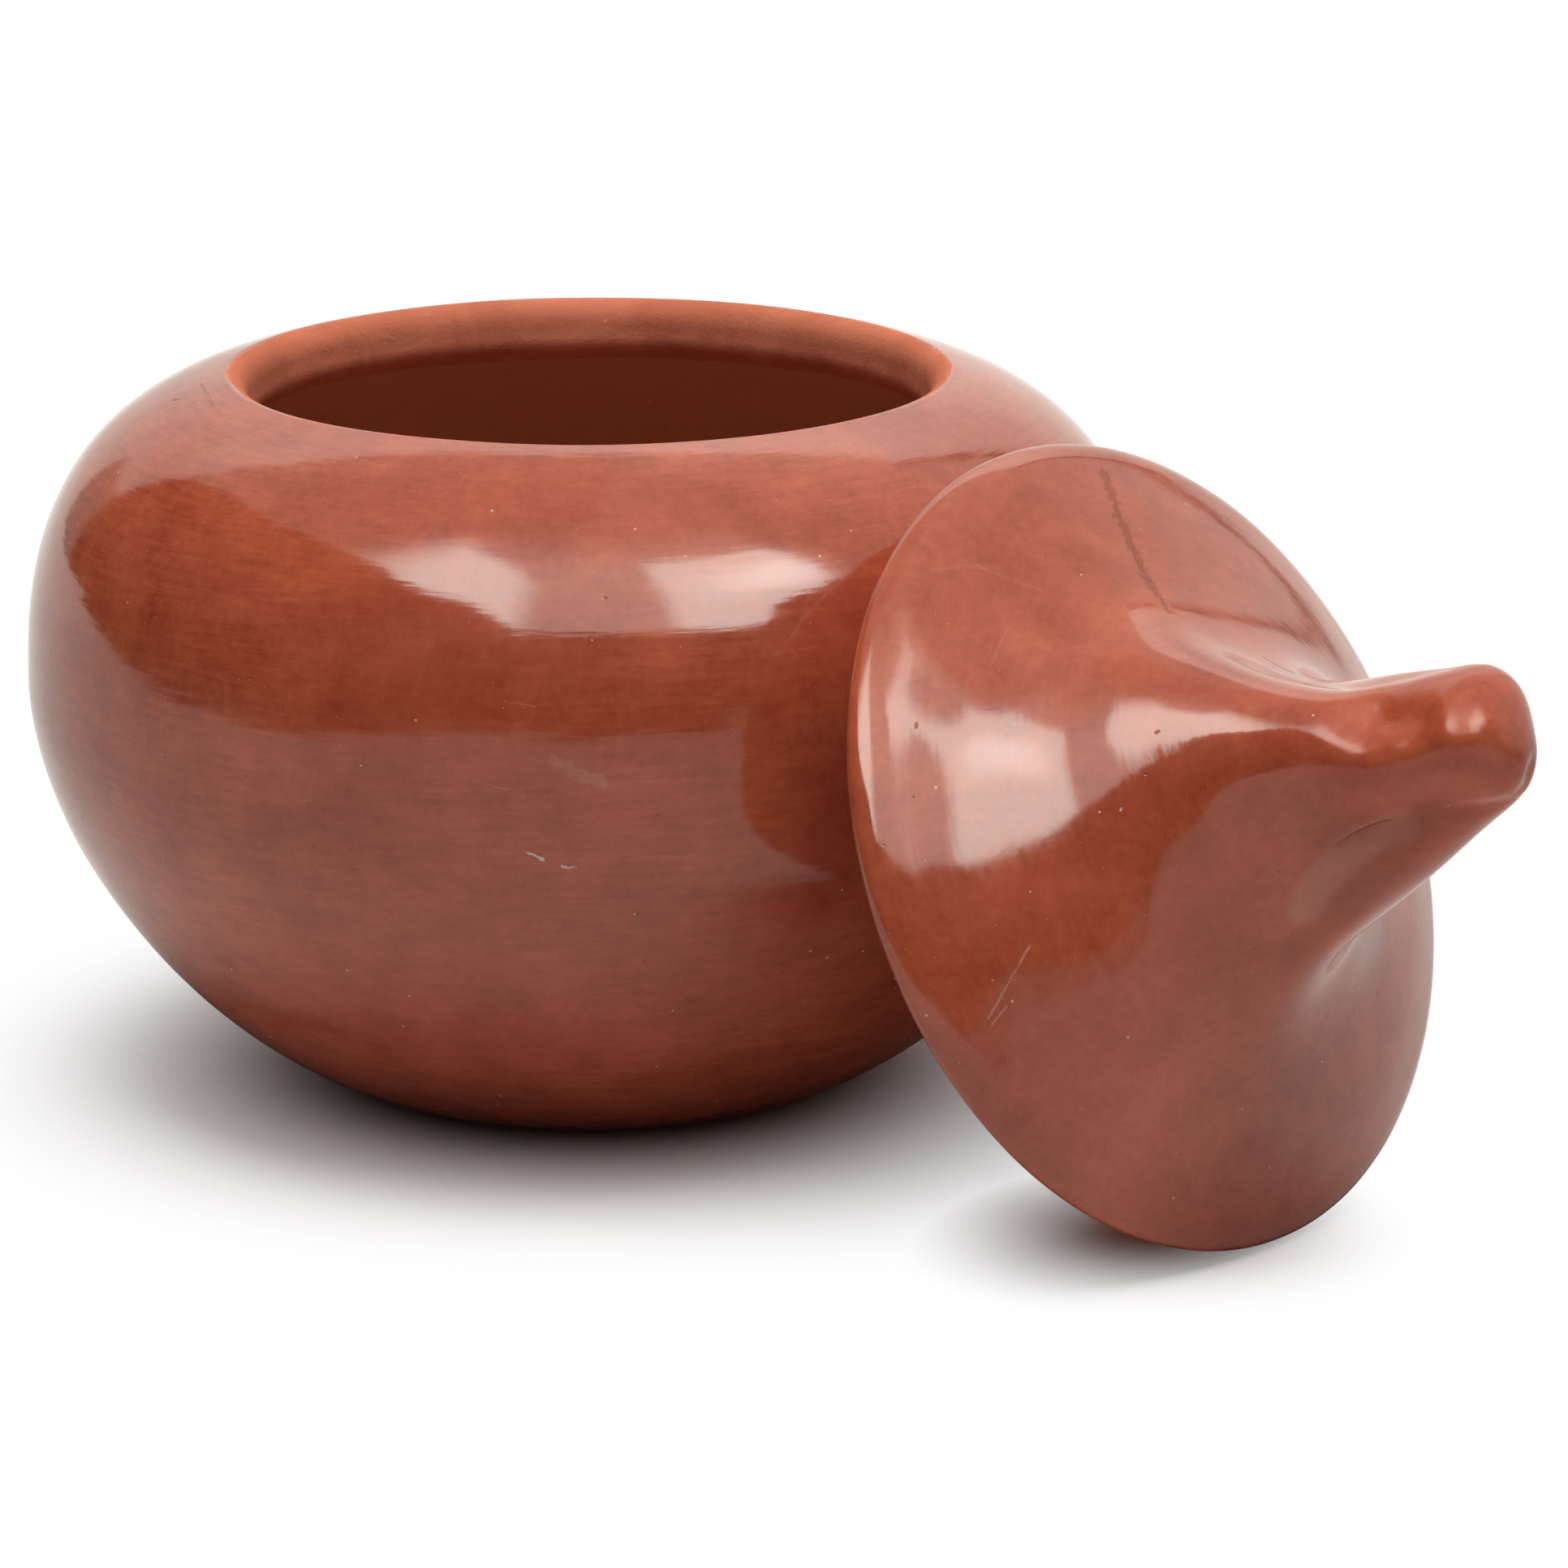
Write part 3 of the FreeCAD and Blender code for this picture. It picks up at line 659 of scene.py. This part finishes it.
LAMP_TINT, BRIGHT_LAMP_TINT = (1.0, 0.965, 0.89, 1), (0.92, 0.97, 0.90, 1)
PAPER, PAPER_MATT, PAPER_MIRRORED = (0.97, 0.96, 0.955, 1), (0.64, 0.635, 0.63, 1), (0.80, 0.78, 0.74, 1)
DARK_FLOOR, WHITE_LIGHT = (0.03, 0.03, 0.03, 1), (1.0, 1.0, 1.0, 1)
FLOOR_HALF = 6.0
LEFT_EDGE, RIGHT_EDGE, FRONT_EDGE = (-0.85, -0.60), (0.70, 0.54), (-4.5, -2.5)
LID_FOOT = (0.078, -0.078, 0.0)


def floor_material():
    """White paper roll on a dark floor. What the camera sees of it fades to plain white."""
    material, t = new_material("paper")
    place = t.put("ShaderNodeTexCoord").outputs["Object"]
    x, y, _ = t.split(place)

    # the paper widens to the back on both sides, and to the front on the right
    to_left = t.math("MULTIPLY", t.math("MAXIMUM", y, 0.0), 1.2)
    to_right = t.math("MULTIPLY", t.math("MAXIMUM", t.math("ADD", y, 0.05), 0.0), 10.0)
    to_front = t.math("MAXIMUM", t.math("SUBTRACT", -0.30, y), 0.0)
    left_edge = t.ramp(t.math("ADD", x, to_left), *LEFT_EDGE)
    right_edge = t.ramp(t.math("SUBTRACT", t.math("SUBTRACT", x, to_right), to_front), *RIGHT_EDGE)
    on_paper = t.product(left_edge, right_edge, t.ramp(y, *FRONT_EDGE))

    # seen by the camera
    height = t.weighted(t.math("MULTIPLY", t.noise(place, 420.0, 4.0, 0.6, 0.5), 120e-6),
                        (t.noise(place, 90.0, 3.0, 0.5, 1.2), 300e-6))
    paper = t.diffuse(PAPER, Normal=t.bump(height, 0.55))
    near_jar = t.ramp(t.vector("LENGTH", place), 0.036, 0.108)
    near_lid = t.ramp(t.vector("DISTANCE", place, LID_FOOT), 0.003, 0.040)
    shown = t.mix_shaders(t.math("MINIMUM", near_jar, near_lid), paper, t.glow(WHITE_LIGHT, 1.0))

    # what it throws on the clay, and what the polish mirrors of it
    bounce = t.diffuse(t.mix(on_paper, DARK_FLOOR, PAPER_MATT))
    mirrored = t.diffuse(t.mix(on_paper, DARK_FLOOR, PAPER_MIRRORED))
    sweep = t.glow(LAMP_TINT, t.ramp(x, -0.60, 0.0, 0.92, 1.1))
    mirrored = t.mix_shaders(t.product(t.ramp(y, 0.05, 0.60), on_paper), mirrored, sweep)

    path = t.put("ShaderNodeLightPath").outputs
    other = t.mix_shaders(path["Is Glossy Ray"], bounce, mirrored)
    t.put("ShaderNodeOutputMaterial", {"Surface": t.mix_shaders(path["Is Camera Ray"], other, shown)})
    return material


def make_floor():
    mesh = bpy.data.meshes.new("floor")
    corners = [(x * FLOOR_HALF, y * FLOOR_HALF, 0) for x, y in ((-1, -1), (1, -1), (1, 1), (-1, 1))]
    mesh.from_pydata(corners, [], [(0, 1, 2, 3)])
    floor = bpy.data.objects.new("floor", mesh)
    bpy.context.scene.collection.objects.link(floor)
    mesh.materials.append(floor_material())


def direction(azimuth, elevation):
    """Unit arrow: azimuth 0 is +Y, 90 is +X."""
    a, e = math.radians(azimuth), math.radians(elevation)
    return Vector((math.sin(a) * math.cos(e), math.cos(a) * math.cos(e), math.sin(e)))


LIT_CENTRE = Vector((0.0, -0.03, 0.06))
PANELS = (
    # name, azimuth, elevation, width and height as seen from the jar in degrees, radiance, distance
    ("right_box", 137.0, 46.0, 25.0, 28.0, 0.38, 1.6),
    ("left_box", 224.0, 52.5, 25.5, 19.0, 0.45, 1.6),
    ("overhead", 140.0, 85.0, 40.0, 40.0, 7.0, 4.0),
)


def add_panel(name, azimuth, elevation, wide, tall, radiance, distance):
    """A soft box that lights the clay but isn't mirrored in it: the world shows the polish its lamps."""
    data = bpy.data.lights.new(name, "AREA")
    data.shape = "RECTANGLE"
    data.size = 2 * distance * math.tan(math.radians(wide / 2))
    data.size_y = 2 * distance * math.tan(math.radians(tall / 2))
    data.energy = radiance * math.pi * data.size * data.size_y
    light = bpy.data.objects.new(name, data)
    arrow = direction(azimuth, elevation)
    light.location = LIT_CENTRE + arrow * distance
    light.rotation_euler = arrow.to_track_quat("Z", "Y").to_euler()
    light.visible_glossy = False
    bpy.context.scene.collection.objects.link(light)


DARK_TO = (
    # direction round the jar, and the height up to which the studio is dark there, in degrees
    (0, 46), (28, 44), (60, 46), (90, 47), (112, 42), (134, 38), (139, 29), (165, 31), (196, 32),
    (201, 38), (211, 43), (225, 46), (240, 50), (257, 52.5), (272, 52), (290, 48), (305, 43),
    (314, 36), (318, 34), (330, 44), (360, 46),
)
# radiance of each part of the studio
CEILING, SCRIM, RIGHT_LAMP, RIGHT_CORE, LEFT_LAMP = 0.95, 2.2, 6.0, 4.4, 6.2
BACKDROP_LOW, BACKDROP_RISE, STAND = 1.06, 1.0, -0.62
FLANK, CARD, HAZE, AMBIENT = 1.06, 0.50, 0.14, 0.045
# where it starts, is full, starts to fade and ends, in degrees round the jar
SCRIM_SPAN, LEFT_SPAN = (100.0, 118.0, 226.0, 262.0), (191.0, 201.0, 222.0, 258.0)
RIGHT_SPAN, CORE_SPAN = (111.0, 117.0, 156.0, 163.0), (112.0, 122.0, 126.0, 158.0)
CARD_SPAN, BACKDROP_SPAN = (104.0, 114.0, 147.0, 156.0), (-44.0, -42.0, 28.0, 30.0)
FLANK_SPAN = (29.0, 33.0, 96.0, 112.0)


def height_of_dark(t, around):
    """The top of the dark part of the studio, in degrees, for a direction in degrees."""
    curve = t.put("ShaderNodeFloatCurve", {"Value": t.math("DIVIDE", around, 360.0)})
    line = curve.mapping.curves[0]
    line.points[0].location = (0.0, DARK_TO[0][1] / 90)
    line.points[1].location = (1.0, DARK_TO[-1][1] / 90)
    for angle, top in DARK_TO[1:-1]:
        line.points.new(angle / 360, top / 90)
    for point in line.points:
        point.handle_type = "VECTOR"
    curve.mapping.update()
    return t.math("MULTIPLY", curve.outputs[0], 90.0)


def make_world():
    """White for the camera. For shine, a dim studio under a pale ceiling, with paper behind."""
    world = bpy.data.worlds.new("studio")
    world.use_nodes = True
    bpy.context.scene.world = world
    t = Tree(world.node_tree)
    x, y, z = t.split(t.put("ShaderNodeTexCoord").outputs["Generated"])
    high = t.math("MULTIPLY", t.math("ARCSINE", z), 180 / math.pi)
    side = t.math("MULTIPLY", t.math("ARCTAN2", x, y), 180 / math.pi)
    around = t.math("WRAP", side, 360.0, 0.0)
    over = t.math("SUBTRACT", high, height_of_dark(t, around))
    ceiling = t.ramp(over, -0.6, 0.6)
    low = t.math("SUBTRACT", 1.0, ceiling)

    # ceiling, with a scrim and two lamps in front
    scrim = t.product(t.window(around, *SCRIM_SPAN), t.ramp(high, 84.0, 57.0))
    right = t.product(t.window(around, *RIGHT_SPAN), t.ramp(high, 66.5, 62.0))
    core = t.product(t.window(around, *CORE_SPAN), t.window(high, 40.0, 48.0, 52.0, 60.0))
    left = t.product(t.window(around, *LEFT_SPAN), t.ramp(over, 25.0, 19.0))
    lamps = t.weighted(CEILING, (scrim, SCRIM), (right, RIGHT_LAMP), (core, RIGHT_CORE), (left, LEFT_LAMP))
    light = t.product(ceiling, lamps, t.ramp(around, 250.0, 285.0, 1.0, 0.70))

    # backdrop, with a dark stand on its left
    behind = t.product(t.window(side, *BACKDROP_SPAN), low)
    stand = t.product(t.ramp(side, -30.0, -32.0), t.ramp(high, 18.0, 15.0))
    backdrop = t.weighted(BACKDROP_LOW, (t.ramp(high, 24.0, 46.0), BACKDROP_RISE))
    backdrop = t.product(backdrop, t.ramp(side, -14.0, 6.0, 0.80, 1.0), t.weighted(1.0, (stand, STAND)))
    light = t.weighted(light, (behind, backdrop))

    # pale wall on the right, low card in front on the right, and haze in front
    flank = t.product(t.window(side, *FLANK_SPAN), low)
    card = t.product(t.window(around, *CARD_SPAN), t.ramp(high, 6.0, 1.0))
    haze = t.product(t.ramp(t.math("ABSOLUTE", side), 120.0, 150.0), t.ramp(high, 5.0, 28.0))
    light = t.weighted(light, (flank, FLANK), (card, CARD), (haze, HAZE))

    path = t.put("ShaderNodeLightPath").outputs
    glossy, seen = path["Is Glossy Ray"], path["Is Camera Ray"]
    tint = t.mix(glossy, WHITE_LIGHT, t.mix(t.ramp(light, 3.0, 8.0), LAMP_TINT, BRIGHT_LAMP_TINT))
    light = t.math("MULTIPLY_ADD", t.math("SUBTRACT", light, AMBIENT), glossy, AMBIENT)
    strength = t.math("ADD", t.math("MULTIPLY", light, t.math("SUBTRACT", 1.0, seen)), seen)
    shader = t.put("ShaderNodeBackground", {"Color": tint, "Strength": strength})
    t.put("ShaderNodeOutputWorld", {"Surface": shader.outputs[0]})


FRAME_PIXELS, FOCAL_PIXELS, SENSOR_WIDTH = 1932, 7772.3, 36.0
CAMERA_PLACE, CAMERA_DOWN = (0.02833, -0.900, 0.29133), 15.4745


def make_camera():
    data = bpy.data.cameras.new("camera")
    data.sensor_width = SENSOR_WIDTH
    data.lens = FOCAL_PIXELS / FRAME_PIXELS * SENSOR_WIDTH
    data.clip_start, data.clip_end = 0.05, 50.0
    camera = bpy.data.objects.new("camera", data)
    camera.location = CAMERA_PLACE
    camera.rotation_euler = (math.radians(90 - CAMERA_DOWN), 0.0, 0.0)
    bpy.context.scene.collection.objects.link(camera)
    bpy.context.scene.camera = camera


make_camera()
jar = make_jar()
jar.data.materials.append(clay_material("jar_slip", False, JAR_SLIP_END, JAR_MARKS))
jar.data.materials.append(clay_material("jar_bare", False, NO_SLIP, ior=BARE_IOR))
paint_bare(jar, JAR_BARE_FROM)
lid = make_lid()
lid.data.materials.append(clay_material("lid_slip", True, LID_SLIP_END, LID_MARKS, facets=0.5, lines=0.35,
                                        dull_from=KNOB_DULL_FROM))
lid.data.materials.append(clay_material("lid_bare", True, NO_SLIP, ior=BARE_IOR))
paint_bare(lid, LID_BARE_FROM)
make_floor()
make_world()
for panel in PANELS:
    add_panel(*panel)
bpy.context.scene.view_settings.view_transform = "Standard"
